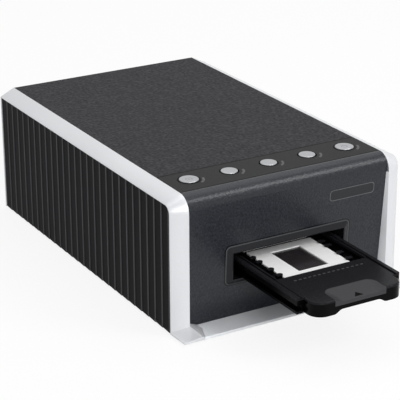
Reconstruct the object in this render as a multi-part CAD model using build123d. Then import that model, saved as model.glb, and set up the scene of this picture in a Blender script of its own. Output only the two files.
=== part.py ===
"""Desktop film scanner: a low case between two silver side frames, with a geared slide holder in its slot.

Millimetres. +X is the right side seen from the front, +Y runs from front to back, +Z is up.
Every piece is drawn with y = 0 on the front edge of the side frames and z = 0 on the table. The
last lines move them all along Y, so that the origin is the middle of the footprint, holder included.
"""

import math
import os

from build123d import *

# ---- Case: driving sizes ----
body_width = 175.0
body_depth = 264.0       # without the toes and the holder
body_height = 94.3
foot_height = 1.5
foot_radius = 7.0
foot_inset_x = 25.0
foot_inset_y = 24.0
side_lift = 0.4          # the side panels' lower edge above the frames' underside
fit_gap = 0.2            # between parts of the case that fit into each other
skin = 3.0               # wall of the top cover, the button strip and the rear panel
rear_skirt = 14.0        # how far the top cover turns down at the back
over = 1.0               # how far a cutter runs past a face, or a joined piece into its neighbour

# ---- Side frames ----
bevel_width = 11.1       # the silver bevel, across the machine
bevel_drop = 5.0         # the same bevel, down from the top and back from the front
frame_rim = 0.8          # frame left outside the side panel
front_radius = 11.0      # upper front corner in side view
rear_radius = 2.0
rear_bevel = 1.5         # the bevel at the back is smaller
frame_sole = 3.0         # lower bar of the frame
inner_bevel = 0.5        # the frame's inner front bevel: sideways per mm of depth
inner_bevel_depth = 9.0
ledge_width = 3.5        # the shelf that the top cover rests on
ledge_height = 2.5
tab_length = 16.0        # where the frame is screwed to the base pan
tab_height = 8.0
tab_thickness = 2.5
tab_inset = 60.0         # from the front and from the back of the case
case_screw_height = 6.0  # above the frames' underside

# ---- Toes and sill at the front of the base ----
toe_length = 12.0
toe_ridge_back = 5.3     # height of the toe's ridge above the underside, at the frame
toe_ridge_front = 2.2
toe_edge_back = 1.2      # height of its outer edge
toe_edge_front = 0.7
toe_inset_back = 8.9     # from the ridge to the toe's inner edge
toe_inset_front = 4.1
toe_tip_inset = 0.5
toe_nose_width = 1.2     # between the ridge and the inner edge at the tip
sill_thickness = 1.7
sill_tail = 14.0         # how far the sill runs back under the front panel

# ---- Side panels ----
side_panel_thickness = 3.0
rib_pitch = 9.4
rib_step = 0.45

# ---- Front panel ----
panel_skin = 2.5
panel_round = 9.0        # upper front edge, where it meets the button strip
panel_recess_top = 1.0   # behind the frames' front edge, at the top of the case
panel_lean = 0.055       # further back per mm down
slot_half_width = 42.7
slot_bottom = 30.3
slot_top = 48.9
bezel_side = 5.0
bezel_above = 5.0
bezel_below = 4.0
bezel_proud = 1.7
bezel_lip = 0.7
bezel_radius = 3.5
collar_wall = 1.2
collar_depth = 14.0      # back end of the bezel's collar
badge_width = 35.4
badge_height = 7.6
badge_depth = 0.9
badge_side = 10.2        # from the badge to the panel's right edge
badge_z = 73.3
badge_radius = 2.2

# ---- Button strip and buttons ----
strip_front = 11.2
strip_back = 42.5
button_row = 28.7
button_end = 16.4        # from the strip's end to the middle of an end button
small_button_radius = 5.6
large_button_radius = 6.4
ring_width = 1.05
ring_gap = 0.15          # between a large button and its ring
button_gap = 0.9         # round a small button
dish_radius = 4.6        # the hollow in a large button
dish_depth = 0.35
button_rise = 0.6
button_travel = 0.8
button_flange = 1.2
button_flange_height = 1.2
button_flange_gap = 0.1
button_stem_radius = 1.6
board_thickness = 1.6
button_board_drop = 9.0  # board's upper face below the strip's underside
button_board_end = 10.0  # past the end buttons
button_board_width = 22.0
switch_size = 6.0
switch_height = 3.5
switch_cap_radius = 1.75
switch_cap_height = 1.0
board_post_radius = 2.5

# ---- Film holder ----
holder_tail = 183.0      # its back end, at rest
holder_shoulder = -65.0  # where the grip starts
holder_nose = -78.0      # front of the grip
plate_top = 42.9
plate_gap = 0.3          # from the raised front plate to the first slide
frame_top = 40.1         # side and cross bars round the slides
holder_floor = 33.7
holder_half = 35.0
lip_half = 38.5          # outer edge of the lips that run in the guides
lip_top = 43.5
lip_thickness = 5.3
lower_lip_thickness = 1.8
lower_lip_drop = 1.1     # below the holder's floor
gutter_width = 1.3       # narrow gutter between plate and upper lip
gutter_depth = 1.2
gutter_inset = 0.4
holder_web = 1.5
hollow_wall = 3.0
hollow_side = 6.5        # beside the hollow, where the racks run
hollow_roof = 4.6
grip_half = 33.5
grip_bottom = 33.2
grip_radius = 9.0
arch_inner = 13.0        # half width of the arch's flat crown
arch_outer = 20.0        # and at its foot
arch_rise = 2.6
thumb_half = 19.3
thumb_back = -61.7
thumb_radius = 7.0
thumb_drop = 2.1         # depth of the thumb hollow at the front edge
thumb_back_drop = 1.0
thumb_slope = 5.5        # width of its sloping wall
grip_round = 1.3

# ---- Slides ----
slide_side = 50.0
slide_thickness = 2.0
slide_top = 40.7
slide_first = -34.1      # near edge of the first slide
slide_pitch = 53.0
slide_count = 4
slide_clearance = 0.3
slide_ledge = 3.5        # shelf under each slide's border
film_length = 34.4
film_width = 22.6
film_border = 1.0
film_thickness = 0.15
film_room = 0.25
catch_radius = 1.8
catch_height = 1.3
catch_overhang = 0.7
catch_offsets = (7.2, 17.5, 31.1, 38.7)
catch_foot = 4.0         # how far its foot reaches past the slide's edge
catch_foot_width = 2.4
catch_lift = 0.1         # above the slide

# ---- Gears ----
module_size = 1.0
pressure_angle = math.radians(25)
addendum = 0.75 * module_size
dedendum = 1.0 * module_size
backlash = 0.12
rack_start = -55.0
rack_end = 183.0
rack_tip_z = 31.9
rack_outer = 33.2        # the racks run under the floor, inside the lips
rack_width = 3.4
pinion_teeth = 16
driven_teeth = 36
idler_teeth = 30
motor_teeth = 12
pinion_width = 2.8
gear_width = 4.0
shaft_radius = 2.0
pin_radius = 1.5
press_gap = 0.02
running_gap = 0.06

# ---- Feed mechanism ----
shaft_y = 56.0
guide_front = 39.0
guide_rear_gap = 14.7    # from the guides' back end to the rear panel
guide_inner = 39.3
guide_thickness = 3.7
guide_top = 46.2
guide_foot_width = 7.0
guide_foot_height = 2.5
tongue_clearance = 0.4
bush_radius = 4.0
gear_wall_gap = 2.0      # between the left guide and the gears
motor_side = 28.0
motor_side_gap = 1.2      # to the side panel
motor_floor_gap = 0.4     # to the pan's wall
motor_bracket_thickness = 1.2
motor_bracket_clearance = 0.6
motor_flange_height = 40.0
motor_margin = 4.0
motor_corner = 3.0
motor_band = 0.8         # grooves round the motor's can
motor_band_inset = 6.0
pin_end = 1.0            # pins and shafts past the gears
bracket_edge = 8.0
bracket_foot = 12.0
bracket_foot_height = 2.0
guide_foot_length = 40.0
tongue_chamfer = 1.5

# ---- Dust flap ----
flap_y = 17.2
flap_z = 53.0
flap_length = 21.0
flap_thickness = 1.2
flap_half_width = 40.5
flap_barrel = 2.0
flap_pin_radius = 1.0
flap_lift = 66.0         # degrees from hanging, where the holder props it
flap_pin_gap = 0.05
ear_width = 2.5
ear_half = 4.0

# ---- Base pan and boards ----
pan_floor = 2.2
pan_wall = 2.0
pan_screw_radius = 1.5
rear_screw_x = 30.0
screw_head_radius = 2.8
screw_head_height = 1.6
screw_length = 7.0
main_board_length = 120.0
power_board_length = 34.0
board_gap = 0.5          # round the boards
main_board_lift = 6.0
socket_margin = 1.5
usb_width = 12.0
usb_height = 11.0
usb_depth = 16.0
usb_wall = 1.2
jack_width = 9.0
jack_height = 11.0
jack_depth = 14.0
jack_bore = 2.8
jack_pin = 1.0
chip_sizes = (            # width, depth, height, middle from the board's back edge
    (14.0, 14.0, 1.4, 30.0),
    (10.0, 18.0, 1.2, 54.0),
    (8.0, 6.0, 1.6, 74.0),
    (12.0, 10.0, 1.2, 92.0),
)
can_radius = 2.5
can_height = 7.0
can_pitch = 6.0
can_back = 108.0
vent_count = 10
vent_pitch = 6.0
vent_width = 2.4
vent_height = 22.0
vent_z = 52.0

# ---- Lamp and optics ----
lamp_front = 39.5
lamp_length = 20.0
lamp_height = 18.0
lamp_wall = 2.0
lamp_window_half = 28.0
diffuser_thickness = 2.0
bench_half = 30.0
bench_front = 32.0
bench_rear_gap = 15.7
bench_thickness = 2.0
mirror_size = 24.0
mirror_width = 46.0
mirror_thickness = 2.0
lens_front = 91.0
lens_length = 28.0
lens_radius = 9.0
lens_z = 18.5
lens_wall = 1.5
cradle_width = 16.0
cradle_length = 12.0
sensor_inset = 10.0      # from the bench's back edge
sensor_height = 26.0
sensor_width = 52.0
sensor_post = 4.0

# ---- Values that follow from the sizes above ----
half_width = body_width / 2
ridge_x = half_width - bevel_width
underside = foot_height
side_bottom = underside + side_lift
cover_bottom = body_height - skin
sill_top = underside + sill_thickness
pan_top = underside + pan_floor
pan_half = ridge_x - 4.2
badge_x = ridge_x - badge_side - badge_width / 2
button_pitch = (ridge_x - button_end) / 2
plate_back = slide_first - plate_gap
inside_x = half_width - side_panel_thickness
guide_outer = guide_inner + guide_thickness
collar_half = slot_half_width + collar_wall
collar_top = slot_top + collar_wall
collar_bottom = slot_bottom - collar_wall
rear_face = body_depth - 0.3
rear_inner = rear_face - skin
front_y = (-holder_nose - body_depth) / 2
rack_pitch_z = rack_tip_z + addendum
shaft_z = rack_pitch_z - module_size * pinion_teeth / 2
idler_y = shaft_y + module_size * (driven_teeth + idler_teeth) / 2
motor_y = idler_y + module_size * (idler_teeth + motor_teeth) / 2
driven_gear_x = -guide_outer - gear_wall_gap - gear_width
driven_gear_end = driven_gear_x + gear_width
bracket_x = driven_gear_x - motor_bracket_clearance - motor_bracket_thickness
motor_left = -inside_x + motor_side_gap
pan_wall_top = shaft_z - motor_side / 2 - motor_floor_gap
guide_back = rear_inner - guide_rear_gap
bench_back = rear_inner - bench_rear_gap
sensor_y = bench_back - sensor_inset
board_left = guide_outer + board_gap
board_right = pan_half - pan_wall - board_gap
board_top = pan_top + main_board_lift + board_thickness
board_back = rear_inner - board_gap
usb_x = board_left + socket_margin + usb_width / 2
jack_x = -board_left - socket_margin - jack_width / 2
case_screw_z = underside + case_screw_height
scan_y = lamp_front + lamp_length / 2
lip_bottom = lip_top - lip_thickness
lower_lip_bottom = holder_floor - lower_lip_drop
lower_lip_top = lower_lip_bottom + lower_lip_thickness
button_board_top = cover_bottom - button_board_drop
rear_skirt_bottom = body_height - rear_skirt


# ---- Helpers ----
def box(x0, x1, y0, y1, z0, z1):
    """A block between two corners."""
    return Pos((x0 + x1) / 2, (y0 + y1) / 2, (z0 + z1) / 2) * Box(x1 - x0, y1 - y0, z1 - z0)


def rod_x(radius, x0, x1, y, z):
    return Pos((x0 + x1) / 2, y, z) * Rot(0, 90, 0) * Cylinder(radius, x1 - x0)


def rod_y(radius, x, y0, y1, z):
    return Pos(x, (y0 + y1) / 2, z) * Rot(90, 0, 0) * Cylinder(radius, y1 - y0)


def rod_z(radius, x, y, z0, z1):
    return Pos(x, y, (z0 + z1) / 2) * Cylinder(radius, z1 - z0)


def prism_x(points, x0, x1):
    """A (y, z) outline carried from x0 to x1."""
    return extrude(Plane.YZ.offset(x0) * make_face(Polyline(*points, close=True)), x1 - x0)


def prism_y(points, y0, y1):
    """An (x, z) outline carried from y0 to y1."""
    plane = Plane(origin=(0, y1, 0), x_dir=(1, 0, 0), z_dir=(0, -1, 0))
    return extrude(plane * make_face(Polyline(*points, close=True)), y1 - y0)


def prism_z(points, z0, z1):
    """An (x, y) outline carried from z0 to z1."""
    return extrude(Pos(0, 0, z0) * make_face(Polyline(*points, close=True)), z1 - z0)


def mirrored(part):
    """The same piece on the other side of the machine."""
    return mirror(part, about=Plane.YZ)


def both_sides(part):
    return part + mirrored(part)


def group(solids):
    """Separate solids kept in one node."""
    return Compound(children=[s for part in solids for s in part.solids()])


def panel_y(z):
    """Front surface of the leaning front panel at height z."""
    return panel_recess_top + (body_height - z) * panel_lean


panel_tilt = math.degrees(math.atan(panel_lean))


def panel_plane(x, z, lift=0.0):
    """A plane on the front panel's surface, lift mm in front of it; its local y points up the panel."""
    tilt = math.radians(panel_tilt)
    normal = Vector(0, -math.cos(tilt), -math.sin(tilt))
    origin = Vector(x, panel_y(z), z) + normal * lift
    return Plane(origin=origin, x_dir=(1, 0, 0), z_dir=normal)


# ---- Side frames, toes and sill ----
def side_profile(inset, rear_inset, bottom, x):
    """The case seen from the side, as a face at x, drawn in by inset at the front and top."""
    y0 = inset
    y1 = body_depth - rear_inset
    z1 = body_height - inset
    face = Plane.YZ.offset(x) * make_face(Polyline((y0, bottom), (y1, bottom), (y1, z1), (y0, z1), close=True))
    upper = face.vertices().sort_by(Axis.Z)[2:].sort_by(Axis.Y)
    face = fillet(upper[0], max(front_radius - inset, 1.0))
    upper = face.vertices().sort_by(Axis.Y)
    corner = [v for v in upper if abs(v.Z - z1) < 0.01 and abs(v.Y - y1) < 0.01]
    return fillet(corner[0], max(rear_radius - rear_inset, 1.0))


def toe(grow=0.0):
    """The left toe: a low ridge that runs forward from the frame. Grown by a gap, it cuts its neighbours."""
    bottom = underside - grow
    back = [
        (-half_width, bottom),
        (-half_width, underside + toe_edge_back + grow),
        (-ridge_x, underside + toe_ridge_back + grow),
        (-ridge_x + toe_inset_back + grow, sill_top + grow),
        (-ridge_x + toe_inset_back + grow, bottom),
    ]
    tip_x = -ridge_x + toe_inset_front + grow
    front = [
        (-half_width + toe_tip_inset, bottom),
        (-half_width + toe_tip_inset, underside + toe_edge_front + grow),
        (tip_x - toe_nose_width, underside + toe_ridge_front + grow),
        (tip_x, sill_top + grow),
        (tip_x, bottom),
    ]
    block = prism_y(back, 0, sill_tail)
    sections = []
    for y, outline in ((0, back), (-toe_length, front)):
        plane = Plane(origin=(0, y, 0), x_dir=(1, 0, 0), z_dir=(0, -1, 0))
        sections.append(plane * make_face(Polyline(*outline, close=True)))
    return block + loft(sections, ruled=True)


def inner_bevel_wedge(grow=0.0):
    """The left frame's sloping inner face beside the front panel."""
    depth = inner_bevel_depth
    outline = [
        (-ridge_x - 1, 0),
        (-ridge_x + grow, 0),
        (-ridge_x + grow + depth * inner_bevel, depth),
        (-ridge_x - 1, depth),
    ]
    return prism_z(outline, underside, body_height - front_radius - 1)


def left_frame():
    bevel = loft([side_profile(bevel_drop, rear_bevel, underside, -half_width),
                  side_profile(0, 0, underside, -ridge_x)], ruled=True)
    window = extrude(side_profile(bevel_drop + frame_rim, rear_bevel + frame_rim, underside + frame_sole,
                                  -half_width - over), body_width / 4)
    panel_room = extrude(side_profile(bevel_drop + frame_rim, rear_bevel + frame_rim, underside - over,
                                      -half_width - over), over + side_panel_thickness + fit_gap)
    wedge = inner_bevel_wedge() - box(-half_width, -ridge_x, -1, front_radius, 0, body_height)
    sole = box(-ridge_x - 1, -pan_half - fit_gap, inner_bevel_depth - 1, rear_inner - fit_gap, underside,
               underside + frame_sole)
    ledge = box(-ridge_x - 1, -ridge_x + ledge_width, front_radius + skin, rear_inner - fit_gap,
                cover_bottom - ledge_height, cover_bottom)
    frame = (bevel - window - panel_room) + wedge + sole + ledge + (toe() - panel_room)
    tab_x = -pan_half - fit_gap
    for y in tab_places():
        frame += box(tab_x - tab_thickness, tab_x, y - tab_length / 2, y + tab_length / 2, underside,
                     underside + frame_sole + tab_height)
        frame -= rod_x(pan_screw_radius + press_gap, tab_x - tab_thickness - 1, tab_x + 1, y, case_screw_z)
    return frame


def tab_places():
    return (tab_inset, body_depth - tab_inset)


def sill():
    tip = ridge_x - toe_inset_front - fit_gap
    tail = ridge_x - toe_inset_back - fit_gap
    outline = [(-tip, -toe_length), (tip, -toe_length), (tail, 0), (tail, sill_tail), (-tail, sill_tail), (-tail, 0)]
    plate = prism_z(outline, underside, sill_top)
    front_edge = plate.edges().filter_by(Axis.X).sort_by(Axis.Y)[:2].sort_by(Axis.Z)[-1]
    return fillet(front_edge, sill_thickness / 3)


# ---- Case panels ----
def left_side_panel():
    """Clapboard ribs: each strip slopes out towards the front and steps back in."""
    inset = bevel_drop + frame_rim + fit_gap
    rear_inset = rear_bevel + frame_rim + fit_gap
    y0 = inset
    y1 = body_depth - rear_inset
    count = int((y1 - y0) // rib_pitch)
    start = y0 + (y1 - y0 - count * rib_pitch) / 2
    outer = -half_width + 0.1
    outline = [(-inside_x, y0), (outer + rib_step, y0)]
    for i in range(count):
        y = start + i * rib_pitch
        outline += [(outer, y), (outer + rib_step, y + rib_pitch - 0.01)]
    outline += [(outer + rib_step, y1), (-inside_x, y1)]
    slab = prism_z(outline, side_bottom, body_height)
    shape = side_profile(inset, rear_inset, side_bottom, -half_width - over)
    return slab & extrude(shape, side_panel_thickness + 2)


def top_cover():
    """Flat lid that turns down at the back into a short skirt."""
    y0 = strip_back + fit_gap
    outline = [
        (y0, body_height),
        (rear_face, body_height),
        (rear_face, rear_skirt_bottom),
        (rear_inner, rear_skirt_bottom),
        (rear_inner, cover_bottom),
        (y0, cover_bottom),
    ]
    half = ridge_x - fit_gap
    cover = prism_x(outline, -half, half)
    edges = cover.edges().filter_by(Axis.X)
    corner = [e for e in edges if abs(e.center().Y - rear_face) < 0.1 and abs(e.center().Z - body_height) < 0.1]
    return fillet(corner, rear_radius)


def front_panel_block(inset):
    """The leaning front as a solid block with its rounded upper edge, drawn in by inset."""
    bottom = sill_top + fit_gap - inset
    top = body_height - inset
    back = strip_front - fit_gap
    outline = [(panel_y(bottom) + inset, bottom), (panel_y(top) + inset, top), (back, top), (back, bottom)]
    block = prism_x(outline, -ridge_x + fit_gap, ridge_x - fit_gap)
    edges = block.edges().filter_by(Axis.X)
    upper_edges = edges.sort_by(Axis.Z)[-2:].sort_by(Axis.Y)
    return fillet(upper_edges[0], panel_round - inset)


def front_panel():
    """Leaning front with a rounded upper edge that meets the button strip."""
    panel = front_panel_block(0) - front_panel_block(panel_skin)
    for cutter in (inner_bevel_wedge(fit_gap), toe(fit_gap)):
        panel -= cutter
        panel -= mirrored(cutter)
    hole = box(-collar_half - fit_gap, collar_half + fit_gap, -5, collar_depth, collar_bottom - fit_gap,
               collar_top + fit_gap)
    pocket = extrude(panel_plane(badge_x, badge_z, 1) * RectangleRounded(
        badge_width + 2 * fit_gap, badge_height + 2 * fit_gap, badge_radius + fit_gap), -1 - badge_depth)
    return panel - hole - pocket


def slot_bezel():
    """Raised ring round the slot, with a collar through the panel and two ears for the flap's pin."""
    mid_z = (slot_top + bezel_above + slot_bottom - bezel_below) / 2
    height = slot_top + bezel_above - slot_bottom + bezel_below
    slot_mid = (slot_top + slot_bottom) / 2
    slot_height = slot_top - slot_bottom
    foot = panel_plane(0, mid_z, 0.02) * RectangleRounded(
        2 * (slot_half_width + bezel_side), height, bezel_radius)
    crest = panel_plane(0, slot_mid, bezel_proud) * RectangleRounded(
        2 * (slot_half_width + bezel_lip), slot_height + 2 * bezel_lip, bezel_lip)
    ring = loft([foot, crest], ruled=True)
    collar = box(-collar_half, collar_half, panel_y(slot_mid) - bezel_proud / 2, collar_depth, collar_bottom,
                 collar_top)
    ears = both_sides(box(slot_half_width + 0.5, slot_half_width + 0.5 + ear_width, collar_depth - 3,
                          flap_y + ear_half, slot_top - 6, flap_z + ear_half))
    bezel = ring + collar + ears
    bezel -= box(-slot_half_width, slot_half_width, -10, collar_depth + 1, slot_bottom, slot_top)
    return bezel - rod_x(flap_pin_radius + press_gap, -half_width, half_width, flap_y, flap_z)


def badge_plate():
    return extrude(panel_plane(badge_x, badge_z, 0.15) * RectangleRounded(
        badge_width, badge_height, badge_radius), -badge_depth - 0.1)


def rear_panel():
    half = ridge_x - fit_gap
    panel = box(-half, half, rear_inner, rear_face, underside, rear_skirt_bottom - fit_gap)
    panel -= box(usb_x - usb_width / 2 - fit_gap, usb_x + usb_width / 2 + fit_gap, rear_inner - 1, rear_face + 1,
                 board_top - fit_gap, board_top + usb_height + fit_gap)
    panel -= box(jack_x - jack_width / 2 - fit_gap, jack_x + jack_width / 2 + fit_gap, rear_inner - 1,
                 rear_face + 1, board_top - fit_gap, board_top + jack_height + fit_gap)
    for i in range(vent_count):
        x = (i - (vent_count - 1) / 2) * vent_pitch
        panel -= Pos(x, rear_face - skin / 2, vent_z) * Rot(90, 0, 0) * extrude(
            RectangleRounded(vent_width, vent_height, vent_width / 2 - 0.1), skin, both=True)
    for x in (-rear_screw_x, rear_screw_x):
        panel -= rod_y(pan_screw_radius + press_gap, x, rear_inner - 1, rear_face + 1, case_screw_z)
    return panel


def base_pan():
    front = sill_tail + fit_gap
    back = rear_inner - fit_gap
    pan = box(-pan_half, pan_half, front, back, underside, pan_wall_top)
    pan -= box(-pan_half + pan_wall, pan_half - pan_wall, front - 1, back - pan_wall, pan_top, body_height)
    pan -= both_sides(box(board_left - over, pan_half + over, back - pan_wall - over, back + over,
                          board_top - board_thickness - fit_gap, body_height))
    for x, y in rear_board_posts(main_board_length):
        pan += rod_z(board_post_radius, x, y, pan_top - over, pan_top + main_board_lift)
    for x, y in rear_board_posts(power_board_length):
        pan += rod_z(board_post_radius, -x, y, pan_top - over, pan_top + main_board_lift)
    for side in (-1, 1):
        for y in tab_places():
            pan -= rod_x(pan_screw_radius + press_gap, *sorted((side * (pan_half - 5), side * (pan_half + 1))), y,
                         case_screw_z)
    for x in (-rear_screw_x, rear_screw_x):
        pan -= rod_y(pan_screw_radius + press_gap, x, back - 5, back + 1, case_screw_z)
    return pan


def rubber_feet():
    places = [(sx * (half_width - foot_inset_x), y) for sx in (-1, 1)
              for y in (foot_inset_y, body_depth - foot_inset_y)]
    return group([fillet(rod_z(foot_radius, x, y, 0, underside).edges().sort_by(Axis.Z)[0], 0.5)
                  for x, y in places])


def frame_screws():
    """Pan-head screws through the frames' tabs into the pan's side walls."""
    screws = []
    for y in tab_places():
        x0 = -pan_half - fit_gap - tab_thickness
        screw = rod_x(screw_head_radius, x0 - screw_head_height, x0, y, case_screw_z)
        screw += rod_x(pan_screw_radius, x0 - 0.5, x0 + screw_length - 2.2, y, case_screw_z)
        screw -= box(x0 - screw_head_height - 1, x0 - screw_head_height + 0.8, y - 0.4, y + 0.4,
                     case_screw_z - 2, case_screw_z + 2)
        screws += [screw, mirrored(screw)]
    return group(screws)


def rear_screws():
    screws = []
    for x in (-rear_screw_x, rear_screw_x):
        screw = rod_y(screw_head_radius, x, rear_face, rear_face + 0.25, case_screw_z)
        screw += rod_y(pan_screw_radius, x, rear_inner - 2, rear_face + 0.2, case_screw_z)
        screws.append(screw)
    return group(screws)


# ---- Button strip ----
def button_places():
    return [button_pitch * i for i in (-2, -1, 0, 1, 2)]


def hole_radius(x):
    if abs(x) > 1.5 * button_pitch:
        return large_button_radius + ring_gap + ring_width
    return small_button_radius + button_gap


def button_strip():
    half = ridge_x - fit_gap
    strip = box(-half, half, strip_front, strip_back, cover_bottom, body_height)
    for x in button_places():
        strip -= rod_z(hole_radius(x) + 0.05, x, button_row, cover_bottom - 1, body_height + 1)
    for x in (-1.5 * button_pitch, 1.5 * button_pitch):
        strip += rod_z(board_post_radius, x, button_row, button_board_top, cover_bottom + 1)
    return strip


def ring_light(x):
    """Smoked ring pressed into the strip round a large button."""
    outer = hole_radius(x)
    ring = rod_z(outer, x, button_row, cover_bottom + 0.5, body_height + 0.15)
    return ring - rod_z(large_button_radius + ring_gap, x, button_row, cover_bottom, body_height + 1)


def button(x):
    radius = large_button_radius if abs(x) > 1.5 * button_pitch else small_button_radius
    top = body_height + button_rise
    cap = rod_z(radius, x, button_row, cover_bottom - button_flange_gap - 0.5, top)
    cap = fillet(cap.edges().sort_by(Axis.Z)[-1], 0.5)
    if radius == large_button_radius:
        ball = (dish_radius ** 2 + dish_depth ** 2) / (2 * dish_depth)
        cap -= Pos(x, button_row, top - dish_depth + ball) * Sphere(ball)
    flange_top = cover_bottom - button_flange_gap
    cap += rod_z(hole_radius(x) + button_flange, x, button_row, flange_top - button_flange_height, flange_top)
    stem_bottom = button_board_top + switch_height + switch_cap_height + button_travel + 0.1
    return cap + rod_z(button_stem_radius, x, button_row, stem_bottom, flange_top)


def button_board():
    half = 2 * button_pitch + button_board_end
    return box(-half, half, button_row - button_board_width / 2, button_row + button_board_width / 2,
               button_board_top - board_thickness, button_board_top)


def button_switches():
    parts = []
    for x in button_places():
        half = switch_size / 2
        body = box(x - half, x + half, button_row - half, button_row + half, button_board_top,
                   button_board_top + switch_height)
        body += rod_z(switch_cap_radius, x, button_row, button_board_top, button_board_top + switch_height
                      + switch_cap_height)
        parts.append(body)
    return group(parts)


# ---- Film holder ----
def slide_starts():
    return [slide_first + i * slide_pitch for i in range(slide_count)]


def rack(side):
    """Straight-flanked teeth under the holder's floor, inside a lip."""
    pitch = math.pi * module_size
    half_tooth = (pitch / 2 - backlash) / 2
    slope = math.tan(pressure_angle)
    root_z = rack_pitch_z + dedendum
    steps = round((rack_end - rack_start) / pitch)
    first = shaft_y - pitch / 2 - pitch * int((shaft_y - rack_start) // pitch)
    outline = [(first - pitch / 2, holder_floor + 0.5), (first - pitch / 2, root_z)]
    for i in range(steps):
        y = first + i * pitch
        outline += [
            (y - half_tooth - dedendum * slope, root_z),
            (y - half_tooth + addendum * slope, rack_tip_z),
            (y + half_tooth - addendum * slope, rack_tip_z),
            (y + half_tooth + dedendum * slope, root_z),
        ]
    end = first + (steps - 0.5) * pitch
    outline += [(end, root_z), (end, holder_floor + 0.5)]
    x0, x1 = sorted((side * (rack_outer - rack_width), side * rack_outer))
    return prism_x(outline, x0, x1)


def grip():
    """Rounded handle, arched below."""
    block = box(-grip_half, grip_half, holder_nose, holder_shoulder + 1, grip_bottom, plate_top)
    corners = block.edges().filter_by(Axis.Z).sort_by(Axis.Y)[:2]
    block = fillet(corners, grip_radius)
    block -= grip_arch()
    rim = [e for e in block.edges() if abs(e.center().Z - plate_top) < 0.01
           and e.center().Y < holder_nose + grip_radius]
    return fillet(rim, grip_round)


def grip_arch():
    """Cutter for the shallow arch under the grip, with S-shaped ends."""
    low = grip_bottom
    top = grip_bottom + arch_rise
    across = ((1, 0, 0), (1, 0, 0))
    outline = Spline((-arch_outer, low), (-arch_inner, top), tangents=across)
    outline += Line((-arch_inner, top), (arch_inner, top))
    outline += Spline((arch_inner, top), (arch_outer, low), tangents=across)
    outline += Polyline((arch_outer, low), (arch_outer, low - over), (-arch_outer, low - over), (-arch_outer, low))
    plane = Plane(origin=(0, holder_shoulder + 2 * over, 0), x_dir=(1, 0, 0), z_dir=(0, -1, 0))
    return extrude(plane * make_face(outline), holder_shoulder - holder_nose + 3 * over)


def thumb_hollow():
    """Cutter for the hollow that the thumb rests in: open at the nose, deepest there, with sloping walls."""
    run = thumb_back - holder_nose
    length = run + 2 * thumb_radius
    tilt = math.atan((thumb_drop - thumb_back_drop) / (run - thumb_slope))
    rim = Pos(0, thumb_back - length / 2, plate_top) * RectangleRounded(2 * thumb_half, length, thumb_radius)
    floor_length = length - thumb_slope
    floor_plane = Plane(origin=(0, thumb_back - thumb_slope, plate_top - thumb_back_drop), x_dir=(1, 0, 0),
                        z_dir=(0, -math.sin(tilt), math.cos(tilt)))
    floor = floor_plane * Pos(0, -floor_length / 2) * RectangleRounded(
        2 * (thumb_half - thumb_slope), floor_length, thumb_radius - 2.0)
    return loft([floor, rim], ruled=True) + extrude(rim, over)


def film_holder():
    bars = box(-holder_half, holder_half, holder_shoulder, holder_tail, holder_floor, frame_top)
    plate = box(-holder_half, holder_half, holder_shoulder, plate_back, holder_floor, plate_top)
    web = box(holder_half - holder_web, holder_half, holder_shoulder, holder_tail, holder_floor, lip_top)
    upper = box(holder_half - holder_web, lip_half, holder_shoulder, holder_tail, lip_bottom, lip_top)
    lower = box(holder_half - holder_web, lip_half, holder_shoulder, holder_tail, lower_lip_bottom, lower_lip_top)
    edge = holder_half - gutter_inset
    gutter = box(edge, edge + gutter_width, holder_shoulder - over, holder_tail + over, lip_top - gutter_depth,
                 lip_top + over)
    inner = box(-edge, edge, holder_shoulder - over, plate_back, plate_top, lip_top + over)
    holder = bars + plate + both_sides(web + upper + lower) - both_sides(gutter) - inner
    pocket_half = slide_side / 2 + slide_clearance
    slide_bottom = slide_top - slide_thickness
    window_half = slide_side / 2 - slide_ledge
    for y in slide_starts():
        holder -= box(-pocket_half, pocket_half, y - slide_clearance, y + slide_side + slide_clearance,
                      slide_bottom, lip_top)
        holder -= box(-window_half, window_half, y + slide_ledge, y + slide_side - slide_ledge,
                      holder_floor - 1, lip_top)
    # a shallow hollow under the front plate
    holder -= box(-holder_half + hollow_side, holder_half - hollow_side, holder_shoulder + hollow_wall,
                  plate_back - hollow_wall, holder_floor - over, plate_top - hollow_roof)
    return holder + grip() - thumb_hollow() + rack(-1) + rack(1)


def slide_catches():
    """Round-headed catches beside each slide that reach over its border."""
    parts = []
    reach = slide_side / 2 + catch_radius - catch_overhang
    bottom = slide_top + catch_lift
    for start in slide_starts():
        for offset in catch_offsets:
            for side in (-1, 1):
                y = start + offset
                head = rod_z(catch_radius, side * reach, y, bottom, bottom + catch_height)
                x0 = slide_side / 2 + slide_clearance + catch_lift
                foot = box(*sorted((side * x0, side * (slide_side / 2 + catch_foot))), y - catch_foot_width / 2,
                           y + catch_foot_width / 2, frame_top, bottom + catch_height)
                parts.append(head + foot)
    return group(parts)


def slide_mounts():
    parts = []
    bottom = slide_top - slide_thickness
    middle = (bottom + slide_top) / 2
    for y in slide_starts():
        mount = box(-slide_side / 2, slide_side / 2, y, y + slide_side, bottom, slide_top)
        mount = fillet(mount.edges().filter_by(Axis.Z), 1.2)
        cy = y + slide_side / 2
        mount -= box(-film_width / 2, film_width / 2, cy - film_length / 2, cy + film_length / 2, bottom - 1,
                     slide_top + 1)
        half_x = film_width / 2 + film_border + 0.1
        half_y = film_length / 2 + film_border + 0.1
        mount -= box(-half_x, half_x, cy - half_y, cy + half_y, middle - film_room / 2, middle + film_room / 2)
        parts.append(mount)
    return group(parts)


def slide_films():
    parts = []
    middle = slide_top - slide_thickness / 2
    half_x = film_width / 2 + film_border
    half_y = film_length / 2 + film_border
    for y in slide_starts():
        cy = y + slide_side / 2
        parts.append(box(-half_x, half_x, cy - half_y, cy + half_y, middle - film_thickness / 2,
                         middle + film_thickness / 2))
    return group(parts)


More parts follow.
